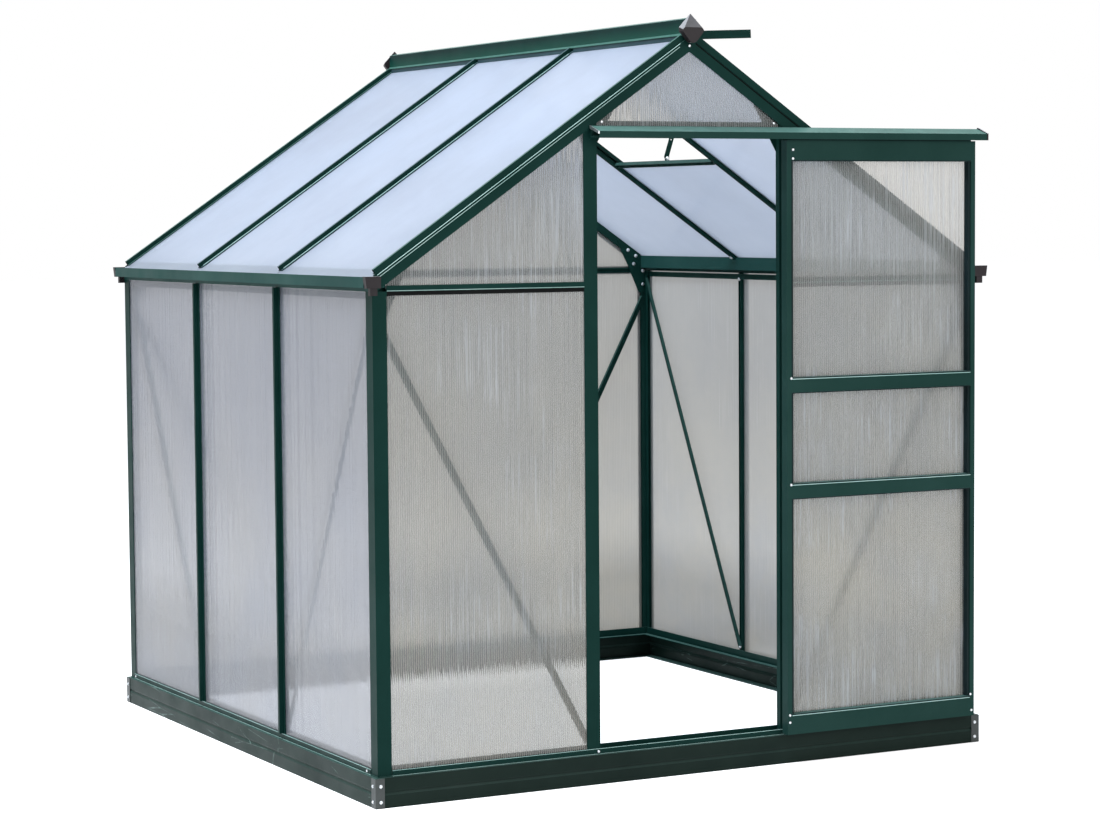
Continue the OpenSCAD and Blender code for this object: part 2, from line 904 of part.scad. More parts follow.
// A sheet on the right slope between two distances from the ridge, measured down the slope
module roof_sheet(y0, y1, s0)
{
    on_slope() translate([s0, y0, sheet_n - sheet_t]) cube([sheet_end - s0, y1 - y0, sheet_t]);
}

roof_edge = wall_y - wall_t - edge_gap;
roof_bar_edge = web_t / 2 + edge_gap;
roof_top = (ridge_core + edge_gap) / cos(pitch) - (sheet_n - sheet_t) * tan(pitch);
transom_s = vent_run / cos(pitch);

module roof_outer_sheets()
{
    roof_sheet(-roof_edge, -bar_y - roof_bar_edge, roof_top);
    roof_sheet(bar_y + roof_bar_edge, roof_edge, roof_top);
}

module panels_roof_left()
{
    color(sheet_tint) mirror([1, 0, 0]) {
        roof_outer_sheets();
        roof_sheet(-bar_y + roof_bar_edge, bar_y - roof_bar_edge, roof_top);
    }
}

module panels_roof_right()
{
    color(sheet_tint) {
        roof_outer_sheets();
        roof_sheet(-bar_y + roof_bar_edge, bar_y - roof_bar_edge, transom_s + web_t + edge_gap);
    }
}

// ---------- Vent ----------

vent_half = bar_y - nose_w / 2 - 2;
vent_len = transom_s - ridge_half / cos(pitch) + vent_lap;
vent_tilt = vent_angle - pitch;
vent_shift = vent_depth * sin(max(vent_tilt, 0));
vent_x0 = ridge_half - 2 + 0.3;
vent_z0 = roof_z(ridge_half, 0) + 13;
vent_sheet_v = vent_depth - wall_t - sheet_gap - sheet_t;
stay_w = 15;
stay_t = 3;
stay_lug = 14;
pin_r = 2.5;

// Local X runs from the ridge to the vent's free edge and local Z stands out of the vent
module on_vent()
{
    translate([vent_x0, 0, vent_z0]) rotate([0, -vent_tilt, 0]) translate([vent_shift, 0, 0]) children();
}

// Vent rail: u in from the vent's outer edge, v up; a skirt from height foot, a top flange and a ledge
module vent_section(foot)
{
    box2(0, foot, wall_t, vent_depth);
    box2(0, vent_depth - wall_t, vent_rail, vent_depth);
    box2(0, vent_sheet_v - sheet_gap - wall_t, vent_rail * 0.7, vent_sheet_v - sheet_gap);
}

module vent_side_rails()
{
    color(frame_green) on_vent() both_y() intersection() {
        along_x(0, vent_len) translate([-vent_half, 0]) vent_section(0);
        upright(-1, vent_depth + 1) polygon([[0, -vent_half], [vent_len, -vent_half],
            [vent_len - vent_half, 0], [vent_half, 0]]);
    }
}

module vent_end_rails()
{
    plan = [[0, -vent_half], [vent_half, 0], [0, vent_half]];
    foot = vent_sheet_v - sheet_gap - wall_t;
    color(frame_green) on_vent() {
        intersection() {
            along_y(-vent_half, vent_half) vent_section(foot);
            upright(-1, vent_depth + 1) polygon(plan);
        }
        translate([vent_len, 0, 0]) mirror([1, 0, 0]) intersection() {
            along_y(-vent_half, vent_half) vent_section(foot);
            upright(-1, vent_depth + 1) polygon(plan);
        }
        translate([vent_len - stay_lug, -stay_t / 2, -stay_lug]) {
            cube([stay_lug, stay_t, stay_lug + vent_sheet_v - sheet_gap]);
            stay_pin();
        }
    }
}

// Pin in the middle of a lug that the vent's stay turns on; it points to +y
module stay_pin()
{
    translate([stay_lug / 2, 0, stay_lug / 2]) rotate([-90, 0, 0]) cylinder(r = pin_r, h = 2 * stay_t + 2);
}

module vent_panel()
{
    in = wall_t + edge_gap;
    color(sheet_tint) on_vent() translate([in, -vent_half + in, vent_sheet_v])
        cube([vent_len - 2 * in, 2 * (vent_half - in), sheet_t]);
}

module vent_transom()
{
    y1 = bar_y - bar_w / 2;
    color(frame_green) on_slope() translate([transom_s, 0, 0]) along_y(-y1, y1) {
        box2(0, outer_n - wall_t, 14, outer_n);
        box2(0, inner_n - wall_t, web_t, outer_n);
        box2(-8, inner_n - wall_t, 14, inner_n);
        box2(-8, back_n, -8 + wall_t, inner_n);
        box2(8 - wall_t, back_n, 8, inner_n);
    }
    color(frame_green) translate([stay_foot()[0] - stay_lug / 2, -stay_t / 2, stay_foot()[1] - stay_lug / 2])
        stay_foot_lug();
}

// Lug standing on the transom; its foot is cut to the roof's slope
module stay_foot_lug()
{
    difference() {
        union() {
            translate([0, 0, -stay_lug]) cube([stay_lug, stay_t, 2 * stay_lug]);
            stay_pin();
        }
        translate([-stay_foot()[0] + stay_lug / 2, 0, -stay_foot()[1] + stay_lug / 2]) on_slope()
            translate([0, -BIG / 2, outer_n - BIG - wall_t / 2]) cube([BIG, BIG, BIG]);
    }
}

// Points of the stay's two pins, as [x, z]
function stay_foot() = [vent_run - 3, roof_z(vent_run - 3, outer_n) + stay_lug];
function stay_head() = [
    vent_x0 + (vent_len - stay_lug / 2 + vent_shift) * cos(vent_tilt) + stay_lug / 2 * sin(vent_tilt),
    vent_z0 + (vent_len - stay_lug / 2 + vent_shift) * sin(vent_tilt) - stay_lug / 2 * cos(vent_tilt)];

module vent_stay()
{
    foot = stay_foot();
    reach = stay_head() - foot;
    run = norm(reach);
    color(frame_green) translate([foot[0], stay_t / 2 + 0.3, foot[1]])
        rotate([0, -atan2(reach[1], reach[0]), 0]) rotate([-90, 0, 0]) linear_extrude(stay_t) difference() {
            hull() for (x = [0, run]) translate([x, 0]) circle(r = stay_w / 2);
            for (x = [0, run]) translate([x, 0]) circle(r = pin_r + 0.1);
            for (k = [1 : 5]) translate([k * run / 6.5, 0]) circle(r = pin_r);
        }
}

// ---------- Door track ----------

// Track, drawn as [y, z]: a sloping hood with a front lip, a back plate and the rollers' ledge
module door_track()
{
    ledge_top = ledge_z + wall_t;
    stop = 1.5;
    stop_h = 2.5;
    color(frame_green) along_x(track_x0, track_x1) polygon([
        [track_back, ledge_z - 1], [track_back, track_top], [track_back - wall_t, track_top],
        [track_front, track_z + track_lip], [track_front, track_z], [track_front + wall_t, track_z],
        [track_front + wall_t, track_z + track_lip - wall_t * 0.7],
        [track_back - wall_t, track_top - wall_t * 1.05], [track_back - wall_t, ledge_top],
        [ledge_front + stop, ledge_top], [ledge_front + stop, ledge_top + stop_h],
        [ledge_front, ledge_top + stop_h], [ledge_front, ledge_z], [track_back - wall_t, ledge_z],
        [track_back - wall_t, ledge_z - 1]]);
}

module track_brackets()
{
    y0 = -(wall_y - face_d);
    color(frame_green) for (x = [-jamb_x + 10, jamb_x])
        translate([x - 10, track_back, ledge_z - 4]) cube([20, y0 - track_back, 14]);
}

// Outline of the plates that close the track's ends; up lifts its top and front over the hood
module track_end_outline(up)
{
    polygon([[track_back, ledge_z - 1], [track_back, track_top + up],
        [track_back - wall_t - 4, track_top + up],
        [track_front - up / 2, track_z + track_lip + up / 2], [track_front - up / 2, track_z]]);
}

// Strip along the hood's edge at the end before the doorway
module track_clip()
{
    color(silver) along_x(track_x0 - track_end_t, track_x0) polygon([
        [track_back, track_top - clip_h], [track_back, track_top], [track_back - wall_t, track_top],
        [track_front, track_z + track_lip], [track_front, track_z + track_lip - clip_h]]);
}

module track_end_cap()
{
    color(plastic_grey) along_x(track_x1, track_x1 + track_end_t) track_end_outline(3);
}

// ---------- Door ----------

door_sheet_m = wall_t + sheet_gap;
door_lip_m = door_sheet_m + sheet_t + sheet_gap;

// Stile: u from its outer side, m out from the door's back
module stile_section()
{
    box2(0, 0, wall_t, door_depth);
    box2(0, 0, stile_w, wall_t);
    difference() {
        box2(0, door_lip_m, stile_w, door_depth);
        box2(wall_t, door_lip_m + wall_t, stile_w - wall_t, door_depth - wall_t);
    }
}

module on_door()
{
    translate([door_x, door_back, door_foot]) children();
}

door_h = door_top - door_foot;

module door_stiles()
{
    color(frame_green) on_door() for (side = [0, 1])
        translate([side * door_w, 0, 0]) mirror([side, 0, 0]) mirror([0, 1, 0])
            upright(0, door_h) stile_section();
}

// Rail of the door, drawn as [m, z] from its lower edge; the web closes its sheet channel at height web
module door_rail(z0, h, web)
{
    on_door() translate([0, 0, z0]) mirror([0, 1, 0]) along_x(stile_w, door_w - stile_w) {
        box2(0, 0, wall_t, h);
        box2(0, web, door_lip_m + wall_t, web + wall_t);
        difference() {
            box2(door_lip_m, 0, door_depth, h);
            box2(door_lip_m + wall_t, wall_t, door_depth - wall_t, h - wall_t);
        }
    }
}

module door_end_rails()
{
    color(frame_green) {
        door_rail(0, door_end_rail, door_end_rail - 14);
        door_rail(door_h - door_end_rail, door_end_rail, 12);
    }
}

module door_mid_rails()
{
    color(frame_green) {
        door_rail(mid_low, door_mid_rail, (door_mid_rail - wall_t) / 2);
        door_rail(mid_high, door_mid_rail, (door_mid_rail - wall_t) / 2);
    }
}

module door_sheet(z0, z1)
{
    in = wall_t + edge_gap;
    on_door() translate([in, -door_sheet_m - sheet_t, z0]) cube([door_w - 2 * in, sheet_t, z1 - z0]);
}

module door_panels()
{
    half_low = (door_mid_rail - wall_t) / 2 - edge_gap;
    half_high = (door_mid_rail + wall_t) / 2 + edge_gap;
    color(sheet_tint) {
        door_sheet(door_end_rail - 14 + wall_t + edge_gap, mid_low + half_low);
        door_sheet(mid_low + half_high, mid_high + half_low);
        door_sheet(mid_high + half_high, door_h - door_end_rail + 12 - edge_gap);
    }
}

hanger_x = [60, door_w - 60];
hanger_y = ledge_front - 4;

module door_hangers()
{
    color(silver) for (x = hanger_x) translate([door_x + x, 0, 0]) {
        translate([-15, hanger_y - 2, door_top]) cube([30, 2, roller_z - door_top + 6]);
        translate([-15, hanger_y - 12, door_top]) cube([30, 12, 2]);
        translate([0, roller_y + roller_w / 2, roller_z]) rotate([90, 0, 0])
            cylinder(r = axle_r, h = roller_y + roller_w / 2 - hanger_y + 1);
    }
}

module door_rollers()
{
    color(plastic_grey) for (x = hanger_x) translate([door_x + x, roller_y, roller_z]) rotate([90, 0, 0])
        difference() {
            cylinder(r = roller_r, h = roller_w, center = true);
            cylinder(r = axle_r + 0.1, h = roller_w + 2, center = true);
        }
}

module door_guides()
{
    y1 = -(wall_y + 1);
    color(plastic_grey) for (x = [40, door_w - 70]) translate([door_x + x, door_back, door_foot])
        cube([30, y1 - door_back, 9]);
}

base_front();
base_back();
base_left();
base_right();
base_corner_brackets();
sill_front();
sill_back();
sill_left();
sill_right();
corner_posts();
wall_bars_left();
wall_bars_right();
wall_bars_back();
door_jambs();
door_header();
gable_bars_front();
gable_bars_back();
gutter_left();
gutter_right();
gutter_end_caps();
side_rails();
rafters_front();
rafters_back();
roof_bars_left();
roof_bars_right();
ridge();
ridge_end_caps();
gussets_front();
gussets_back();
braces_left();
braces_right();
braces_front();
braces_back();
panels_left();
panels_right();
panels_front();
panels_back();
panels_roof_left();
panels_roof_right();
vent_side_rails();
vent_end_rails();
vent_panel();
vent_transom();
vent_stay();
door_track();
track_brackets();
track_clip();
track_end_cap();
door_stiles();
door_end_rails();
door_mid_rails();
door_panels();
door_hangers();
door_rollers();
door_guides();
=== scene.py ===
# %% [markdown]
# # A greenhouse of aluminium sections and twin-wall sheet
# The engineer's model gives every rigid piece its place, so it comes in first and is never moved.
# This script gives each piece its finish and adds what is too fine for that model: the fluted
# sheets, the bolts, the seals and the wear, and thin pale and dark strips that paint highlights
# and shade. Everything is in metres, with Z up, the door's gable facing -Y and the ridge along Y.

# %% Load the frame
import math

import bpy
import numpy as np
from mathutils import Matrix


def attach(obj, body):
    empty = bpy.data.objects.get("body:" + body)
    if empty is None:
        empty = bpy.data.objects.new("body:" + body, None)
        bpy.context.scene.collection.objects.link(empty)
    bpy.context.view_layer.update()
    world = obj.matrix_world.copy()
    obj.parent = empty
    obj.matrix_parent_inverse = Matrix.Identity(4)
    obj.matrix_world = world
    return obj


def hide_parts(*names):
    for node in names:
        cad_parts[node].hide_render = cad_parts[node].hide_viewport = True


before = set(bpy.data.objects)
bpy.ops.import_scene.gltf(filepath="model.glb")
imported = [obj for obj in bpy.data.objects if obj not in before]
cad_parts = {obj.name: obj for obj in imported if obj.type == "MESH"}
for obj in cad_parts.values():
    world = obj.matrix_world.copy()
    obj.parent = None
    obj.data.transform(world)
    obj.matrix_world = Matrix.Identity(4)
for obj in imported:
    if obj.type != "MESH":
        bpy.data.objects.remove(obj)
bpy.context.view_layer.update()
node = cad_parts
rng = np.random.default_rng(7)
scene = bpy.context.scene

# %% [markdown]
# The camera stands a little to the left of the door and at head height, with a long lens, so that
# uprights stay nearly parallel. Its three axes are written from two turns, a heading and a tilt,
# and a very small roll. That is easier to correct than a matrix, and safer than aiming at a
# target, which can't hold a roll.

# %% Camera
IMAGE_WIDTH = 1100
EYE = np.array([-3.91642, -7.56044, 1.5135])
HEADING, TILT, ROLL = 0.48463, -0.06873, -0.00753
FOCAL_STEPS = 2867.308
SENSOR = 36.0


def placing(right, top, back, at):
    """The matrix of a camera or a lamp: its columns are the directions to the right, up and
    back, and the place."""
    return Matrix(np.vstack([np.column_stack([right, top, back, at]), [0, 0, 0, 1]]).tolist())


ahead = math.cos(TILT)
forward = np.array([math.sin(HEADING) * ahead, math.cos(HEADING) * ahead, math.sin(TILT)])
level = np.array([math.cos(HEADING), -math.sin(HEADING), 0.0])
upward = np.cross(level, forward)
right = math.cos(ROLL) * level + math.sin(ROLL) * upward
top = -math.sin(ROLL) * level + math.cos(ROLL) * upward

camera = bpy.data.objects.new("camera", bpy.data.cameras.new("camera"))
camera.data.sensor_width = SENSOR
camera.data.lens = FOCAL_STEPS / IMAGE_WIDTH * SENSOR
camera.matrix_world = placing(right, top, -forward, EYE)
scene.collection.objects.link(camera)
scene.camera = camera
print("lens", round(camera.data.lens, 2), "mm")

# %% [markdown]
# Materials are networks of shader nodes. These short helpers add a node, join sockets and read a
# pattern at each point of the object, so that each finish below reads as a recipe.

# %% Helpers that add nodes
def link(tree, source, target):
    """Joins an output, or sets a plain value, on an input socket."""
    if isinstance(source, bpy.types.NodeSocket):
        tree.links.new(source, target)
    else:
        target.default_value = source


def add(tree, kind, values=None, **settings):
    """Adds a shader node, sets its settings and fills its inputs by name or number."""
    made = tree.nodes.new(kind)
    for name, value in settings.items():
        setattr(made, name, value)
    for name, value in (values or {}).items():
        link(tree, value, made.inputs[name])
    return made


def math_of(tree, operation, *values, **settings):
    """One step of arithmetic on one to three sockets or numbers."""
    inputs = dict(enumerate(values))
    return add(tree, "ShaderNodeMath", inputs, operation=operation, **settings).outputs[0]


def remap(tree, value, low, high, to_low=0.0, to_high=1.0):
    """Carries the range low to high of a value to another range, clamped."""
    values = {0: value, 1: low, 2: high, 3: to_low, 4: to_high}
    return add(tree, "ShaderNodeMapRange", values, clamp=True).outputs[0]


def blend_colours(tree, share, first, second):
    """Mixes two colours by a share."""
    values = {0: share, 6: first, 7: second}
    return add(tree, "ShaderNodeMix", values, data_type="RGBA").outputs[2]


def blend_shaders(tree, share, first, second):
    """Mixes two shaders by a share."""
    return add(tree, "ShaderNodeMixShader", {0: share, 1: first, 2: second}).outputs[0]


# %% [markdown]
# A pattern has to stay on its piece, so every pattern reads the object's own coordinates. Here a
# metre is a metre on every piece, and a stretched pattern gives streaks and long scratches.

# %% Helpers that read the object
def place(tree, scale=(1, 1, 1)):
    """Object coordinates in metres, stretched along each axis."""
    coordinates = add(tree, "ShaderNodeTexCoord").outputs["Object"]
    return add(tree, "ShaderNodeMapping", {"Vector": coordinates, "Scale": scale}).outputs[0]


def along_axis(tree, vector, axis):
    """The X, Y or Z part of a vector."""
    return add(tree, "ShaderNodeSeparateXYZ", {0: vector}).outputs[axis]


def noise(tree, scale, detail=3.0, roughness=0.5, stretch=(1, 1, 1)):
    """A soft random field with about scale lumps in a metre."""
    values = {"Vector": place(tree, stretch), "Scale": scale, "Detail": detail,
              "Roughness": roughness}
    return add(tree, "ShaderNodeTexNoise", values).outputs["Fac"]


# %% [markdown]
# Colours are written as on a screen, from 0 to 255, because a colour chart gives them so. The
# nodes work in linear light, so each colour is turned once, where it is written. A finish goes
# into each node's own material slots, so the shape of the frame's piece is left alone.

# %% Helpers for colours and finishes
def rgb(*parts):
    """A colour from 0 to 255, turned into linear light: c / 12.92 for a very dark part, and
    ((c + 0.055) / 1.055) to the power 2.4 for the others."""
    share = np.array(parts) / 255.0
    linear = np.where(share <= 0.04045, share / 12.92, ((share + 0.055) / 1.055) ** 2.4)
    return (*[float(part) for part in linear], 1.0)


def toned(colour, tone):
    """A colour with each of its three parts multiplied by a share."""
    return tuple(part * share for part, share in zip(colour, tone)) + (1,)


def material(name):
    """A new material with only its output: returns it, its tree and the surface socket."""
    made = bpy.data.materials.new(name)
    made.use_nodes = True
    tree = made.node_tree
    tree.nodes.clear()
    return made, tree, add(tree, "ShaderNodeOutputMaterial").inputs["Surface"]


def dress(names, finish):
    """Gives the frame's own nodes a finish, in each of their material slots."""
    for name in names:
        slots = node[name].data.materials
        slots.clear()
        slots.append(finish)


# %% [markdown]
# The room is a pale floor under an even sky. The camera, reflections and clear plastic all meet
# the same plain white, while the light that falls on things is a calmer sky. Light scattered
# inside milky plastic is falling light too, so it meets the calm sky.

# %% Sky
SKY_LIGHT = 0.48
SKY_COLOUR = (0.93, 0.96, 1.0, 1)
WHITE = (1, 1, 1, 1)


def sees_white(tree):
    """1 for rays that look at the background, which are camera, glossy and clear transmission
    rays, and 0 for rays that gather falling light."""
    path = add(tree, "ShaderNodeLightPath").outputs
    seen = math_of(tree, "MAXIMUM", path["Is Glossy Ray"], path["Is Transmission Ray"])
    seen = math_of(tree, "SUBTRACT", seen, path["Is Diffuse Ray"], use_clamp=True)
    return math_of(tree, "MAXIMUM", seen, path["Is Camera Ray"])


world = bpy.data.worlds.new("sky")
scene.world = world
world.use_nodes = True
tree = world.node_tree
tree.nodes.clear()
lighting = add(tree, "ShaderNodeBackground", {"Color": SKY_COLOUR, "Strength": SKY_LIGHT})
white = add(tree, "ShaderNodeBackground", {"Color": WHITE, "Strength": 1.0})
sky = blend_shaders(tree, sees_white(tree), lighting.outputs[0], white.outputs[0])
link(tree, sky, add(tree, "ShaderNodeOutputWorld").inputs["Surface"])
print("sky", SKY_LIGHT)

# %% [markdown]
# The floor is so wide that its edge is never seen. It glows a little to the rays that see white,
# so that it is white where nothing shades it and still keeps the house's soft shadow.

# %% Floor
FLOOR_HALF = 60.0
FLOOR_GREY, FLOOR_GLOW = (0.86, 0.86, 0.86, 1), 0.64

floor_finish, tree, surface = material("floor")
matte = add(tree, "ShaderNodeBsdfDiffuse", {"Color": FLOOR_GREY})
glow = remap(tree, sees_white(tree), 0, 1, 0, FLOOR_GLOW)
glow = add(tree, "ShaderNodeEmission", {"Color": WHITE, "Strength": glow})
both = add(tree, "ShaderNodeAddShader", {0: matte.outputs[0], 1: glow.outputs[0]})
link(tree, both.outputs[0], surface)

floor_mesh = bpy.data.meshes.new("floor")
corner = np.array([[-1, -1, 0], [1, -1, 0], [1, 1, 0], [-1, 1, 0]]) * FLOOR_HALF
floor_mesh.from_pydata(corner.tolist(), [], [(0, 1, 2, 3)])
floor_mesh.materials.append(floor_finish)
floor = bpy.data.objects.new("floor", floor_mesh)
scene.collection.objects.link(floor)
print("floor", 2 * FLOOR_HALF, "m wide")

# %% [markdown]
# Two wide lamps shape the house: one high on the left, cool as from open sky, and a weaker and
# warmer one in front. Wide lamps give soft edges to shadows, as a bright overcast day does.

# %% Lamps
LEFT_LAMP, FRONT_LAMP, LAMP_SIDE = 1000.0, 240.0, 4.0


def lamp(name, at, aim, watts, colour):
    """A square lamp at a point, turned so that it shines towards another."""
    light = bpy.data.lights.new(name, "AREA")
    light.shape, light.size, light.energy, light.color = "SQUARE", LAMP_SIDE, watts, colour
    held = bpy.data.objects.new(name, light)
    back = np.array(at, float) - np.array(aim, float)
    back /= np.linalg.norm(back)
    across = np.cross([0, 0, 1], back)
    across /= np.linalg.norm(across)
    held.matrix_world = placing(across, np.cross(back, across), back, at)
    scene.collection.objects.link(held)


lamp("left_lamp", (-3.2, -0.8, 8.0), (0, 0, 1.2), LEFT_LAMP, (0.86, 0.93, 1.0))
lamp("front_lamp", (2.0, -8.0, 4.5), (0, 0, 1.0), FRONT_LAMP, (1.0, 0.98, 0.95))
print("lamps", LEFT_LAMP, FRONT_LAMP, "W")

# %% [markdown]
# The sections are aluminium with a dark green powder coat. The coat is satin, very finely pebbled,
# a touch uneven in tone, and paler on what faces up, with dust and painted sky light. A plain
# colour would look like plastic, so a slow colour change and two scales of roughness say all that.

# %% Powder coat
# Pale teal on what faces up: dust, and painted sky light.
DUST_AND_SHEEN = rgb(104, 142, 134)
BARE_SCRATCH = rgb(150, 176, 168)
SHADE = (0.0, 0.0, 0.0, 1)


def powder_coat(name, dark, pale, shine=0.04, dust=DUST_AND_SHEEN, dusty=0.5, low=None, worn=0.0):
    """Satin powder coat: two near tones by a slow field, fine pebbles, roughness that wanders
    and a paler colour on what faces up, which is dust and painted sky light. Given a height range
    and a colour, the coat also turns to that colour downwards, a painted light. Given wear, thin
    pale scratches run through it in patches: they follow the borders between stretched random
    cells."""
    made, tree, surface = material(name)
    tone = remap(tree, noise(tree, 3.2, 4, 0.6), 0.35, 0.68)
    speck = remap(tree, noise(tree, 900, 2, 0.5), 0.3, 0.7)
    colour = blend_colours(tree, tone, dark, pale)
    if low:
        foot, head, below = low
        height = along_axis(tree, place(tree), "Z")
        colour = blend_colours(tree, remap(tree, height, foot, head, 1, 0), colour, below)
    colour = blend_colours(tree, remap(tree, speck, 0, 1, 0.0, 0.22), colour, SHADE)
    if worn:
        cells = {"Vector": place(tree, (1, 0.14, 1)), "Scale": 26.0}
        border = add(tree, "ShaderNodeTexVoronoi", cells, feature="DISTANCE_TO_EDGE")
        scratch = remap(tree, border.outputs["Distance"], 0.0, 0.022, worn, 0.0)
        patch = remap(tree, noise(tree, 7.0, 4, 0.7), 0.5, 0.64)
        scratch = math_of(tree, "MULTIPLY", scratch, patch)
        colour = blend_colours(tree, scratch, colour, BARE_SCRATCH)
    facing = add(tree, "ShaderNodeNewGeometry").outputs["True Normal"]
    up_facing = remap(tree, along_axis(tree, facing, "Z"), 0.25, 0.95, 0.0, dusty)
    patches = remap(tree, noise(tree, 38, 4, 0.6), 0.3, 0.6, 0.7, 1.0)
    colour = blend_colours(tree, math_of(tree, "MULTIPLY", up_facing, patches), colour, dust)
    pebbles = add(tree, "ShaderNodeBump", {"Strength": 0.12, "Distance": 0.0002, "Height": speck})
    rough = remap(tree, noise(tree, 11, 4, 0.6), 0.3, 0.7, 0.3, 0.46)
    values = {"Base Color": colour, "Roughness": rough, "Normal": pebbles.outputs[0],
              "Specular IOR Level": shine}
    link(tree, add(tree, "ShaderNodeBsdfPrincipled", values).outputs[0], surface)
    return made


# %% [markdown]
# The pieces differ a little in their green. The door is greyer. The gutters are greyer too, a
# paler coat that paints the light on them. The roof's bars hold more dust, and their bluish tops
# are a painted sky reflection. The ridge turns paler downwards, a painted light, and the base is
# nearly black, with scratches on its left and right sides, which are paler, a painted light.

# %% Coats of the pieces
OTHER_PIECES = ("base_", "panels_", "vent_panel", "door_panels", "gutter_end", "ridge_end",
                "track_end", "track_clip", "door_hang", "door_roll", "door_gui")
FRAME_NODES = [name for name in node if not name.startswith(OTHER_PIECES)]
DOOR_NODES = [name for name in FRAME_NODES if name.startswith("door_") and name != "door_jambs"]
PLASTIC_NODES = ["gutter_end_caps", "ridge_end_caps", "track_end_cap", "door_rollers",
                 "door_guides"]
RIDGE_PAINTED_LIGHT = (1.985, 2.022, rgb(28, 76, 64))


def coat(names, title, dark, pale, **extra):
    """Gives nodes of the frame a powder coat between two colours from 0 to 255."""
    dress(names, powder_coat(title, rgb(*dark), rgb(*pale), **extra))


coat(FRAME_NODES, "frame_green_coat", (13, 45, 40), (21, 54, 49))
# The ridge's paler lower part is painted light.
coat(["ridge"], "ridge_green_coat", (11, 41, 39), (16, 48, 45), low=RIDGE_PAINTED_LIGHT)
# The bluish grey on the roof bars' upper faces is dust and a painted sky reflection.
coat(["roof_bars_left", "roof_bars_right"], "roof_bar_coat", (13, 45, 40), (21, 54, 49),
     dust=rgb(70, 92, 98), dusty=1.0)
coat(DOOR_NODES, "door_green_coat", (28, 57, 52), (36, 65, 60))
# The gutters' paler green is painted light, a lit copy of the frame's coat.
coat(["gutter_left", "gutter_right"], "gutter_painted_light_coat", (30, 66, 62), (40, 76, 71))
coat(["base_front", "base_back"], "base_green_coat", (23, 36, 32), (31, 44, 39),
     shine=0.05, dusty=0.2)
# The base sides' paler tone is painted light; the scratches are wear.
coat(["base_left", "base_right"], "base_worn_painted_light_coat", (24, 40, 36), (36, 54, 48),
     shine=0.05, dusty=0.3, worn=0.55)
coat(["base_corner_brackets"], "bracket_coat", (62, 66, 65), (84, 88, 87), shine=0.2)
# The pale grey on the caps' upper facets is a painted highlight.
coat(PLASTIC_NODES, "cap_plastic", (36, 33, 35), (50, 45, 47),
     shine=0.15, dust=rgb(176, 176, 180), dusty=0.95)
print("coated", len(FRAME_NODES), "nodes of the frame")

# %% [markdown]
# The clip on the track and the door's hangers are bright zinc, and so are the bolts below. Zinc
# sets in small flakes, each a slightly different mirror, so random cells steer both the tone and
# the roughness of a metal.

# %% Zinc
DARK_ZINC, PALE_ZINC = rgb(176, 180, 184), rgb(214, 217, 220)


def zinc_plate(name):
    """Bright zinc: metal whose tone and roughness change in small soft flakes."""
    made, tree, surface = material(name)
    cells = {"Vector": place(tree), "Scale": 260.0}
    flakes = add(tree, "ShaderNodeTexVoronoi", cells).outputs["Distance"]
    colour = blend_colours(tree, remap(tree, flakes, 0, 0.7), DARK_ZINC, PALE_ZINC)
    rough = remap(tree, flakes, 0, 0.7, 0.28, 0.45)
    values = {"Base Color": colour, "Metallic": 1.0, "Roughness": rough}
    link(tree, add(tree, "ShaderNodeBsdfPrincipled", values).outputs[0], surface)
    return made


ZINC_NODES = ["track_clip", "door_hangers"]
zinc = zinc_plate("zinc_plate")
dress(ZINC_NODES, zinc)
print("zinc on", len(ZINC_NODES), "nodes of the frame")

# %% [markdown]
# Twin-wall sheet is two thin skins joined by ribs a few millimetres apart. Each cell acts as a
# weak lens that is curved across the flutes and straight along them. What is behind is smeared
# sideways but stays sharp up and down, and a rail shows through where a post doesn't. So the
# flutes are shaped and not painted: a slab whose two faces are rippled across the flutes, cut to
# the outline of the sheet in the frame. First that outline is read from the frame's own piece.

# %% Outline of a sheet
def islands(obj):
    """The separate solids of a node, each as its own array of corner points: corners of one
    triangle share a number, and the lowest number spreads until nothing changes."""
    mesh = obj.data
    points = np.empty(len(mesh.vertices) * 3)
    mesh.vertices.foreach_get("co", points)
    points = points.reshape(-1, 3)
    mesh.calc_loop_triangles()
    corners = np.empty(len(mesh.loop_triangles) * 3, int)
    mesh.loop_triangles.foreach_get("vertices", corners)
    unique, same = np.unique(np.round(points, 5), axis=0, return_inverse=True)
    triangles = same.reshape(-1)[corners].reshape(-1, 3)
    label = np.arange(len(unique))
    for _ in range(len(unique)):
        lowest = label[triangles].min(axis=1)
        spread = label.copy()
        np.minimum.at(spread, triangles.ravel(), np.repeat(lowest, 3))
        if (spread == label).all():
            break
        label = spread
    return [unique[label == one] for one in np.unique(label)]


def outline_range(flat, steps):
    """Lowest and highest reach of a convex outline at each step across it: for every pair of
    corners the straight line between them is read at the steps it spans, and the lowest and
    highest are kept."""
    first, second = np.triu_indices(len(flat), 1)
    a, b = flat[first], flat[second]
    swap = a[:, 0] > b[:, 0]
    a[swap], b[swap] = b[swap], a[swap].copy()
    run = np.maximum(b[:, 0] - a[:, 0], 1e-9)
    share = (steps[None, :] - a[:, :1]) / run[:, None]
    height = a[:, 1:] + share * (b[:, 1:] - a[:, 1:])
    inside = (share >= -1e-6) & (share <= 1 + 1e-6)
    low = np.where(inside, height, np.inf).min(axis=0)
    high = np.where(inside, height, -np.inf).max(axis=0)
    return low, high


# %% [markdown]
# The slab is one grid. Its rows run across the flutes and turn round the sheet's four edges, so
# it is closed from the start. Real ribs are never quite alike, so each flute sinks by its own
# depth.

# %% Shape of a fluted sheet
FLUTE = 0.0062
RIPPLE = 0.00045
POINTS_PER_FLUTE = 6


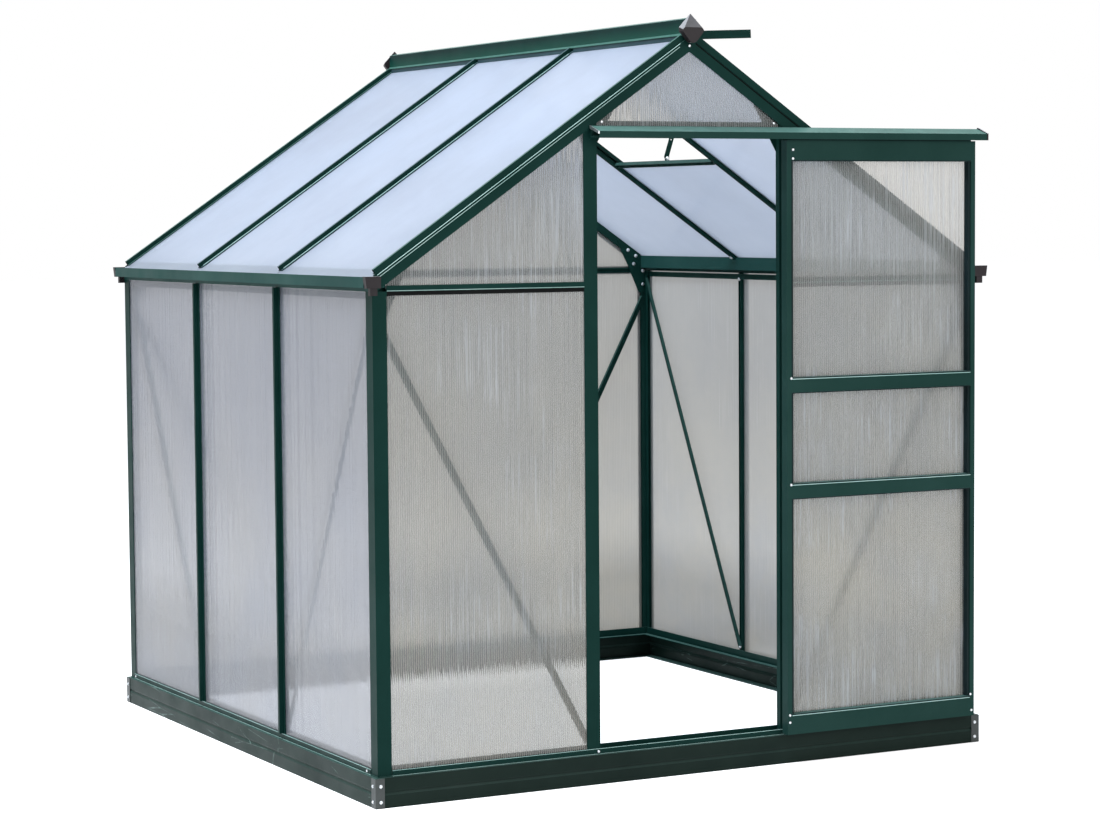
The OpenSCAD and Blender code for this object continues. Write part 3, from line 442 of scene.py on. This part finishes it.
def fluted_sheet(corners, across):
    """One sheet as points and quads. Across the sheet u runs in sixths of a flute, and along it
    v runs from the lower to the upper edge of its outline. Each face sinks from the flat by
    ripple x (1 - cos(2 pi u / flute)) / 2, a little deeper or shallower from flute to flute, and
    strips close the four edges."""
    middle = corners.mean(axis=0)
    normal = np.linalg.svd(corners - middle)[2][2]
    across = np.asarray(across, float)
    along = np.cross(normal, across)
    if along[2] < 0:
        normal, along = -normal, -along
    rest = corners - middle
    flat = np.column_stack([rest @ across, rest @ along])
    half = (rest @ normal).max()
    flutes = int((flat[:, 0].max() - flat[:, 0].min()) / FLUTE)
    u = np.linspace(flat[:, 0].min(), flat[:, 0].max(), flutes * POINTS_PER_FLUTE + 1)
    low, high = outline_range(flat, u)
    turn = 2 * np.pi * np.arange(len(u)) / POINTS_PER_FLUTE
    depth = RIPPLE * rng.uniform(0.3, 1.0, flutes + 1)[(np.arange(len(u)) // POINTS_PER_FLUTE)]
    sink = depth * (1 - np.cos(turn)) / 2
    rows = []
    for side, edge in ((1, low), (1, high), (-1, high), (-1, low)):
        off_middle = (side * (half - sink))[:, None] * normal
        rows.append(middle + u[:, None] * across + edge[:, None] * along + off_middle)
    points = np.stack(rows, axis=1).reshape(-1, 3)
    start = 4 * np.arange(len(u) - 1)[:, None]
    pairs = ((0, 1), (1, 2), (2, 3), (3, 0))
    quads = [np.hstack([start + a, start + 4 + a, start + 4 + b, start + b]) for a, b in pairs]
    ends = np.array([[0, 1, 2, 3], [3, 2, 1, 0]]) + np.array([[0], [4 * (len(u) - 1)]])
    faces = np.vstack(quads + [ends])
    if np.linalg.det(np.array([across, along, normal])) < 0:
        faces = faces[:, ::-1]
    return points, faces


# %% [markdown]
# Every new piece is put together in the same way: its parts are joined into one mesh, soft bends
# are smoothed and sharp ones kept, and the piece rides on the house or on its door.

# %% From points to a piece
def gather(parts):
    """Joins several (points, faces) into one, with the faces' numbers moved on."""
    shift = np.cumsum([0] + [len(points) for points, _ in parts])
    faces = [numbers + moved for (_, numbers), moved in zip(parts, shift)]
    return np.vstack([points for points, _ in parts]), np.vstack(faces)


def build(name, parts, finish, crease, body="greenhouse"):
    """Joins parts into a mesh that rides on a body, smooth except where it turns by more than
    the crease, in degrees."""
    points, faces = gather(parts)
    mesh = bpy.data.meshes.new(name)
    mesh.from_pydata(points.tolist(), [], faces.tolist())
    mesh.polygons.foreach_set("use_smooth", np.ones(len(mesh.polygons), bool))
    mesh.set_sharp_from_angle(angle=math.radians(crease))
    mesh.materials.append(finish)
    made = bpy.data.objects.new(name, mesh)
    scene.collection.objects.link(made)
    print(name, len(faces), "quads")
    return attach(made, body)


# %% [markdown]
# The plastic is clear with a little milk in it. A clear share bends what is behind, a milky share
# glows with light from both sides, and shadow rays pass, because a lamp's light reaches the
# inside through so thin a sheet. Milk alone would hide the bars behind, and glass alone would
# show no sheet.

# %% Sheet finish
# The warm and cool tints paint ground light below and sky light above.
PAINTED_WARM_BELOW, PAINTED_COOL_ABOVE, MIST = (1.0, 0.96, 0.87), (0.88, 0.93, 1.0), (0.8, 0.83, 0.88)
STREAK_WHITE, STREAK_GREY = rgb(232, 234, 238), (0.35, 0.37, 0.4, 1)
PASSED_LIGHT = (0.84, 0.86, 0.88, 1)
ALONG_FLUTE, ACROSS_FLUTE = 3.0, 160.0
CLEAR_GLOSS, CLEAR_IOR = 0.02, 1.45


def clear_colour(tree, clear, low_darkening, height, dark_line):
    """The clear share's colour: darker towards the bottom, and grey on the dark lines."""
    darkened_low = toned(clear, [1 - low_darkening] * 3)
    clear = blend_colours(tree, remap(tree, height, 0.28, 0.45), darkened_low, clear)
    return blend_colours(tree, dark_line, clear, STREAK_GREY)


def milk_colour(tree, milk, height, field, streaks):
    """The milk's colour: warm below and cool above, a painted light of the ground and the sky,
    greyer in clouds and white on pale lines.
    """
    cloud = remap(tree, noise(tree, 2.3, 5, 0.6), 0.35, 0.7)
    tint = remap(tree, height, 0.3, 1.7)
    tint = blend_colours(tree, tint, toned(milk, PAINTED_WARM_BELOW), toned(milk, PAINTED_COOL_ABOVE))
    tint = blend_colours(tree, cloud, tint, toned(milk, MIST))
    bright = remap(tree, field, 0.52, 0.66, 0.0, 0.8 * streaks)
    return blend_colours(tree, bright, tint, STREAK_WHITE)


def sheet_finish(name, across, clear, milk, haze, streaks, low_darkening=0.5):
    """Fluted plastic: clear refraction, mixed with milk that scatters through and back, milkier
    on the ribs, and let through by light that only falls on something. Streaks, from 0 to 1, are
    long pale and dark lines along the flutes, in patches. The clear share darkens towards the
    bottom, which lets less light through there."""
    made, tree, surface = material(name)
    axis = across.index(1)
    rib = math_of(tree, "PINGPONG", along_axis(tree, place(tree), "XYZ"[axis]), FLUTE / 2)
    stretch = [ALONG_FLUTE] * 3
    stretch[axis] = ACROSS_FLUTE
    patch = remap(tree, noise(tree, 2.6, 3, 0.6), 0.44, 0.58, 0.15, 1.25)
    field = math_of(tree, "SUBTRACT", noise(tree, 1.0, 3, 0.7, tuple(stretch)), 0.5)
    field = math_of(tree, "MULTIPLY_ADD", field, patch, 0.5)
    pale_line = remap(tree, field, 0.52, 0.66)
    dark_line = remap(tree, field, 0.48, 0.34, 0.0, 0.5 * streaks)
    streak = math_of(tree, "MULTIPLY_ADD", pale_line, 0.34 * streaks, haze)
    share = remap(tree, rib, 0.0006, 0.0014, haze + 0.25 * min(1.0, 3 * streaks), 0)
    share = math_of(tree, "MAXIMUM", share, streak)
    height = along_axis(tree, place(tree), "Z")
    window = {"Base Color": clear_colour(tree, clear, low_darkening, height, dark_line),
              "Roughness": CLEAR_GLOSS, "IOR": CLEAR_IOR, "Transmission Weight": 1.0}
    window = add(tree, "ShaderNodeBsdfPrincipled", window).outputs[0]
    tint = milk_colour(tree, milk, height, field, streaks)
    through = add(tree, "ShaderNodeBsdfTranslucent", {"Color": tint}).outputs[0]
    back = add(tree, "ShaderNodeBsdfDiffuse", {"Color": tint}).outputs[0]
    seen = blend_shaders(tree, share, window, blend_shaders(tree, 0.4, through, back))
    path = add(tree, "ShaderNodeLightPath").outputs
    falls = math_of(tree, "MAXIMUM", path["Is Shadow Ray"], path["Is Diffuse Ray"])
    passed = add(tree, "ShaderNodeBsdfTransparent", {"Color": PASSED_LIGHT}).outputs[0]
    link(tree, blend_shaders(tree, falls, seen, passed), surface)
    return made


# %% [markdown]
# The sheets of each wall differ a little in tone, milk and streaks. Their tone and milk are
# painted light: lit and shaded copies of one sheet, bluish on the roof and the left wall, which
# face the sky, and paler on the door. The whole roof has one finish. Flutes run upright, so the
# axis across them is Y on the side walls and the roof, and X on the gables and the door.

# %% The sheets
SHEET_CREASE = 40.0
ACROSS_Y, ACROSS_X = (0, 1, 0), (1, 0, 0)
# axis across the flutes, colour of the clear share, colour of the milk, haze, streaks and
# darkening at the bottom
ROOF = (ACROSS_Y, rgb(215, 218, 226), rgb(216, 220, 231), 0.62, 0.0)
# Each wall's tone and milk paint the light that falls on that face.
SHEETS = {
    "panels_left": (ACROSS_Y, rgb(219, 219, 223), rgb(199, 198, 205), 0.3, 0.02),
    "panels_right": (ACROSS_Y, rgb(210, 207, 202), rgb(205, 202, 198), 0.42, 0.1),
    "panels_front": (ACROSS_X, rgb(220, 217, 212), rgb(219, 215, 208), 0.2, 0.7),
    "panels_back": (ACROSS_X, rgb(209, 205, 198), rgb(205, 201, 194), 0.43, 0.05),
    "panels_roof_left": ROOF,
    "panels_roof_right": ROOF,
    "vent_panel": ROOF,
    "door_panels": (ACROSS_X, rgb(237, 234, 229), rgb(227, 222, 213), 0.22, 0.9, 0.1),
}
for name, (across, *plastic) in SHEETS.items():
    parts = [fluted_sheet(corners, across) for corners in islands(node[name])]
    finish = sheet_finish("sheet_" + name, across, *plastic)
    body = "door" if name == "door_panels" else "greenhouse"
    made = build("fluted_" + name, parts, finish, SHEET_CREASE, body)
    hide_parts(name)

# %% [markdown]
# Small parts repeat all over the house, so each kind is one surface that is laid at many places
# at once. A closed tube, a grid of rings by sides with both ends capped, is enough for all of
# them: a bolt's head is a tube that gets narrower, and a lip, a seal or a strip is a four-sided
# tube from one point to another.

# %% Shapes of the small parts
def tube_faces(copies, rings, sides):
    """Quads of many closed tubes: neighbouring rings are joined side by side, and each end is
    cut into quads that fan out from one corner."""
    ring = sides * np.arange(rings - 1)[:, None]
    here = ring + np.arange(sides)
    there = ring + np.roll(np.arange(sides), -1)
    walls = np.stack([here, there, there + sides, here + sides], axis=-1).reshape(-1, 4)
    fan = 2 * np.arange(sides // 2 - 1)[:, None]
    end = np.hstack([0 * fan, fan + 1, fan + 2, fan + 3])
    faces = np.vstack([walls, end[:, ::-1], end + sides * (rings - 1)])
    return (faces[None] + rings * sides * np.arange(copies)[:, None, None]).reshape(-1, 4)


def unit(vectors):
    """Each vector scaled to a length of one."""
    return vectors / np.linalg.norm(vectors, axis=-1, keepdims=True)


def turned(places, facing, profile, sides=12):
    """Round heads. Each pair of the profile, a radius r and a height h, becomes the ring
    place + h x facing + r x (cos t x side + sin t x up) for t from 0 to a full turn."""
    places = np.atleast_2d(np.asarray(places, float))
    facing = unit(np.broadcast_to(np.asarray(facing, float), places.shape))
    side = unit(np.cross(facing, [0.31, 0.52, 0.8]))
    up = np.cross(facing, side)
    turn = 2 * np.pi * np.arange(sides)[:, None] / sides
    ring = np.cos(turn) * side[:, None] + np.sin(turn) * up[:, None]
    radius, height = np.asarray(profile, float).T
    points = places[:, None, None] + radius[None, :, None, None] * ring[:, None]
    points = points + (height[None, :, None] * facing[:, None])[:, :, None]
    return points.reshape(-1, 3), tube_faces(len(places), len(radius), sides)


def strips(starts, ends, out, width, height, sink=0.0004, top=0.55):
    """Long four-sided strips: a section with a wide foot just under the surface and a narrower
    back is carried in a straight line from each start to each end."""
    starts, ends = (np.atleast_2d(np.asarray(side, float)) for side in (starts, ends))
    out = unit(np.broadcast_to(np.asarray(out, float), starts.shape))
    side = unit(np.cross(out, ends - starts))
    section = np.array([[0.5, -sink], [0.5 * top, height], [-0.5 * top, height], [-0.5, -sink]])
    section[:, 0] *= width
    ring = section[None, :, :1] * side[:, None] + section[None, :, 1:] * out[:, None]
    points = np.stack([starts[:, None] + ring, ends[:, None] + ring], axis=1)
    return points.reshape(-1, 3), tube_faces(len(starts), 2, 4)


# %% [markdown]
# Parts on the roof are placed by how far they lie across, along and out from the slope, and not
# by height, so that one number moves a part into or out of the roof. Both slopes mirror each
# other.

# %% Lines of the roof
HALF_GABLE = 0.935
EAVES_Z, BAR_TOP = 1.36, 0.0145
PITCH = math.radians(34)
RIDGE_Z = EAVES_Z + BAR_TOP + HALF_GABLE * math.tan(PITCH)
SIDES = (-1, 1)


def roof_point(x, y, n):
    """A point of the roof at x across and y along, n out from the line of the bars' tops: its
    height is ridge + n / cos(pitch) - |x| tan(pitch)."""
    x, y, n = np.broadcast_arrays(*(np.asarray(value, float) for value in (x, y, n)))
    return np.stack([x, y, RIDGE_Z + n / math.cos(PITCH) - abs(x) * math.tan(PITCH)], axis=-1)


def roof_out(side):
    """The direction square to the left (-1) or right (1) slope."""
    return np.array([side * math.sin(PITCH), 0, math.cos(PITCH)])


def up_slope(low, high, y, n):
    """The two ends of a line that runs up a slope, between two places across."""
    return [roof_point(x, y, n) for x in (low, high)]


print("ridge line at", round(RIDGE_Z, 4), "m")

# %% [markdown]
# Thin pale lines stand for the light that extruded edges catch. They are painted highlights, a
# pale coat on raised lips of half a millimetre to one millimetre, which stays pale from any side.
# They run along the left front rafter, the bar across the gable, the sills and the bars of the
# left slope, which is the side that the light falls on.

# %% Painted highlight lips
# The lips' pale coat is a painted highlight.
highlight_lip_coat = powder_coat("painted_highlight_lip", rgb(165, 205, 198), rgb(205, 235, 229), 0.2, dusty=0.0)
STRIP_CREASE = 20.0
FRONT = (0, -1, 0)
FACE_Y, DRIP_Y, GABLE_BAR_Y = -0.935, -0.938, -0.933
JAMB_EDGE, POST_EDGE = 0.323, 0.892
BAR_Y = 0.305
# width and height of each kind of lip
DRIP_LIP, GROOVE_LIP, GABLE_LIP = (0.0016, 0.0008), (0.0022, 0.0012), (0.0016, 0.001)
BAR_LIP, SILL_LIP = (0.002, 0.001), (0.0012, 0.0007)
# their heights, or how far they lie under the line of the bars' tops
GABLE_LIP_Z, SILL_LIPS_Z = 1.3235, (0.0941, 0.0803)
DRIP_DEPTH, GROOVE_DEPTH, BAR_LIP_DEPTH, BAR_LIP_SHIFT = 0.0172, 0.0245, 0.012, 0.0058


def on_gable_bar(side, z):
    """The two ends of a line on the gable's bar, from the doorway to the corner post."""
    return [[side * x, GABLE_BAR_Y, z] for x in (JAMB_EDGE, POST_EDGE)]


lips = [
    strips(*up_slope(-0.92, -0.03, DRIP_Y, -DRIP_DEPTH), FRONT, *DRIP_LIP),
    strips(*up_slope(-0.92, -0.03, FACE_Y, -GROOVE_DEPTH), FRONT, *GROOVE_LIP),
]
lips += [strips(*on_gable_bar(side, GABLE_LIP_Z), FRONT, *GABLE_LIP) for side in SIDES]
for z in SILL_LIPS_Z:
    for side in SIDES:
        face = side * HALF_GABLE
        ends = [[-POST_EDGE, face, z], [POST_EDGE, face, z]]
        lips.append(strips(*ends, (0, side, 0), *SILL_LIP))
        ends = [[face, 0.894, z], [face, -0.894, z]]
        lips.append(strips(*ends, (side, 0, 0), *SILL_LIP))
for y in (-BAR_Y, BAR_Y):
    ends = up_slope(-0.915, -0.03, y - BAR_LIP_SHIFT, -BAR_LIP_DEPTH)
    lips.append(strips(*ends, roof_out(-1), *BAR_LIP))
build("painted_highlight_lips", lips, highlight_lip_coat, STRIP_CREASE)

# %% [markdown]
# Black strips: a narrow band in the right rafter's groove and a wide one under the gable's bar
# are painted shade, where those faces lie in shadow, and a thin rubber seal runs along both sides
# of each roof bar, which holds the sheets. Only the outer face shows, so each is a shallow strip
# laid on its section.

# %% Rubber seals and painted shade
rubber_and_shade = powder_coat("rubber_and_painted_shade", rgb(8, 10, 10), rgb(16, 18, 18), 0.05)
GROOVE_SHADE, GABLE_SHADE, BAR_SEAL = (0.003, 0.0012), (0.011, 0.0006), (0.0014, 0.0012)
GABLE_SHADE_Z, GROOVE_SHADE_DEPTH, SHEET_DEPTH = 1.3165, 0.0225, 0.0145
BAR_HALF = 0.0145

# The groove's narrow band and the gable bar's wide band are painted shade.
dark_strips = [strips(*up_slope(0.02, 0.90, FACE_Y, -GROOVE_SHADE_DEPTH), FRONT, *GROOVE_SHADE)]
for side in SIDES:
    dark_strips.append(strips(*on_gable_bar(side, GABLE_SHADE_Z), FRONT, *GABLE_SHADE, top=0.95))
    for y in (-BAR_Y, BAR_Y):
        for edge in (-BAR_HALF, BAR_HALF):
            ends = up_slope(side * 0.91, side * 0.03, y + edge, -SHEET_DEPTH)
            dark_strips.append(strips(*ends, roof_out(side), *BAR_SEAL))
build("seals_and_painted_shade", dark_strips, rubber_and_shade, STRIP_CREASE)

# %% [markdown]
# The door has lips and seals of its own, which slide with it: a pale lip near the upper edge of
# each rail, a painted highlight, a dark seam along each pane's ends, a rubber bead along both
# sides of each pane, and a brush strip on the top rail, which keeps the rain out under the track's
# hood.

# %% Lips and seals of the door
# the lower and upper edge of each rail, and the inner edges of the two stiles
RAILS = np.array([[0.084, 0.141], [0.732, 0.776], [1.022, 1.066], [1.6531, 1.7101]])
STILES = np.array([0.2965, 0.8935])
DOOR_FACE, PANE_FACE = -0.972, -0.9505
INWARDS = np.array([1, -1])
RAIL_LIP, LIP_DROP = (0.0022, 0.0011), 0.0045
SEAM, SEAM_INSET = (0.003, 0.0005), 0.0016
BEAD, BEAD_INSET, BEAD_GAP = (0.008, 0.018, 0.0002), 0.0042, 0.0002
BRUSH, BRUSH_BACK = (0.002, 0.0045), 0.0015


def on_door(across, depth, heights):
    """A point for each pair of a place across the door and a height, at one depth."""
    across, heights = np.broadcast_arrays(across, heights)
    return np.column_stack([across, np.full(len(across), depth), heights])


def on_rails(heights):
    """The two ends, on the door's face, of one line across the door at each height."""
    return [on_door(x, DOOR_FACE, heights) for x in STILES + 0.001 * INWARDS]


# The pale lip near each rail's upper edge is a painted highlight.
lip = strips(*on_rails(RAILS[:3, 1] - LIP_DROP), FRONT, *RAIL_LIP)
build("door_highlight_lips", [lip], highlight_lip_coat, STRIP_CREASE, "door")

seams = on_rails(np.concatenate([RAILS[:3, 1] - SEAM_INSET, RAILS[1:, 0] + SEAM_INSET]))
bead_x = np.repeat(STILES + BEAD_INSET * INWARDS, 3)
pane_ends = (RAILS[:3, 1] + BEAD_GAP, RAILS[1:, 0] - BEAD_GAP)
beads = [on_door(bead_x, PANE_FACE, np.tile(z, 2)) for z in pane_ends]
brush = [[x, DOOR_FACE + BRUSH_BACK, RAILS[3, 1]] for x in STILES + 0.0005 * INWARDS]
dark_strips = [
    strips(*seams, FRONT, *SEAM, top=0.9),
    strips(*beads, FRONT, *BEAD, top=0.85),
    strips(*brush, (0, 0, 1), *BRUSH, top=0.8),
]
door_rubber = powder_coat("door_rubber", rgb(22, 34, 35), rgb(30, 44, 46), 0.05)
build("door_seals", dark_strips, door_rubber, STRIP_CREASE, "door")

# %% [markdown]
# The upper ends of the roof's sheets are closed with tape under the ridge, which keeps dirt and
# insects out of the flutes. Each bay has its own strip, except the bay of the vent.

# %% Tape under the ridge
tape = powder_coat("sheet_tape", rgb(44, 66, 72), rgb(54, 78, 84), 0.05, dusty=0.0)
BAYS = ((-0.918, -0.32), (-0.29, 0.29), (0.32, 0.918))
TAPE_X, TAPE_SIZE = 0.0205, (0.003, 0.0115)

tapes = []
for side in SIDES:
    for bay in BAYS:
        if side < 0 or bay != BAYS[1]:
            ends = [roof_point(side * TAPE_X, y, -SHEET_DEPTH) for y in bay]
            tapes.append(strips(*ends, (0, 0, 1), *TAPE_SIZE))
build("sheet_end_tape", tapes, tape, STRIP_CREASE)

# %% [markdown]
# The bolts are zinc with domed heads, and thin washers under the larger ones. A head is a profile
# of radius and height turned about the bolt's own axis, so one line of numbers places it. Four
# corner brackets hold the base together, each with bolts on both of its faces.

# %% Heads, and the bolts of the corner brackets
HEAD = np.array([[6.2, -0.5], [6.2, 0.9], [5.0, 1.0], [5.0, 2.8], [4.2, 3.8], [2.2, 4.3]]) / 1000
SMALL_HEAD = np.array([[3.6, -0.4], [3.6, 1.2], [2.9, 2.0], [1.4, 2.3]]) / 1000
BRACKET_HEAD = 0.75 * HEAD
HEAD_CREASE = 35.0
BRACKET, BRACKET_INSET, BRACKET_HEIGHTS = 0.945, 0.015, (0.017, 0.058)

house_bolts = []
for out_x in SIDES:
    for out_y in SIDES:
        x, y = out_x * BRACKET, out_y * BRACKET
        for z in BRACKET_HEIGHTS:
            side_bolt = [x, y - BRACKET_INSET * out_y, z]
            gable_bolt = [x - BRACKET_INSET * out_x, y, z]
            house_bolts.append(turned(side_bolt, (out_x, 0, 0), BRACKET_HEAD))
            house_bolts.append(turned(gable_bolt, (0, out_y, 0), BRACKET_HEAD))

# %% [markdown]
# Inside, the bolts sit on the wall and roof bars, on the gusset plates at the eaves and beside
# the doorway. Outside, only small heads show. No head stands out of the sill between the
# doorway's left edge and the open door, because the door's lower guides slide past there with a
# gap of one millimetre.

# %% Bolts of the house
WALL, GUSSET, JAMB_BACK = 0.9155, 0.9135, -0.9135
WALL_BOLT_HEIGHTS = (0.115, 1.303)
EAVES_BOLT_X, EAVES_BOLT_DEPTH = 0.885, 0.0295
GUSSET_BOLTS = ((0.848, 1.392), (0.878, 1.372), (0.87, 1.345), (0.905, 1.322), (0.905, 1.276))
JAMB_BOLTS = ((0.2664, 1.7556), (0.306, 1.735), (0.300, 1.69))
# places of the small heads outside, and the way that each group faces
SMALL_BOLTS = (
    ([[-0.2664, -0.931, 1.7556], [0.2664, -0.931, 1.7556]], FRONT),
    ([[-0.2895, FACE_Y, 0.087]], FRONT),
    ([[-HALF_GABLE, -0.872, 0.087], [-HALF_GABLE, 0.885, 0.087]], (-1, 0, 0)),
    ([[0.0, FACE_Y, 1.9595]], FRONT),
)
STAY_BOLT = [0.472, -0.0015, 1.681]

inner = []
for side in SIDES:
    for y in (-BAR_Y, BAR_Y):
        inner += [([side * WALL, y, z], (-side, 0, 0)) for z in WALL_BOLT_HEIGHTS]
        inner.append((roof_point(side * EAVES_BOLT_X, y, -EAVES_BOLT_DEPTH), -roof_out(side)))
    for end in SIDES:
        inner += [([side * x, end * GUSSET, z], (0, -end, 0)) for x, z in GUSSET_BOLTS]
    inner += [([side * x, JAMB_BACK, z], (0, 1, 0)) for x, z in JAMB_BOLTS]
places, facing = (np.array(part, float) for part in zip(*inner))
house_bolts.append(turned(places, facing, HEAD))
house_bolts += [turned(places, facing, SMALL_HEAD) for places, facing in SMALL_BOLTS]
house_bolts.append(turned(STAY_BOLT, FRONT, HEAD))
build("house_bolts", house_bolts, zinc, HEAD_CREASE)

# %% [markdown]
# The door's own screws are small domed heads on its rails and stiles.

# %% Screws of the door
SCREWS = np.array([[0.302, 1.684], [0.302, 1.660], [0.2945, 0.7725], [0.2895, 0.138],
                   [0.2895, 0.118], [0.2955, 1.0635], [0.895, 0.146], [0.8985, 0.1]])
screws = turned(np.insert(SCREWS, 1, DOOR_FACE, axis=1), FRONT, SMALL_HEAD)
build("door_screws", [screws], zinc, HEAD_CREASE, "door")

# %% [markdown]
# The last line sets plain colour handling.

# %% Close
scene.view_settings.view_transform = "Standard"
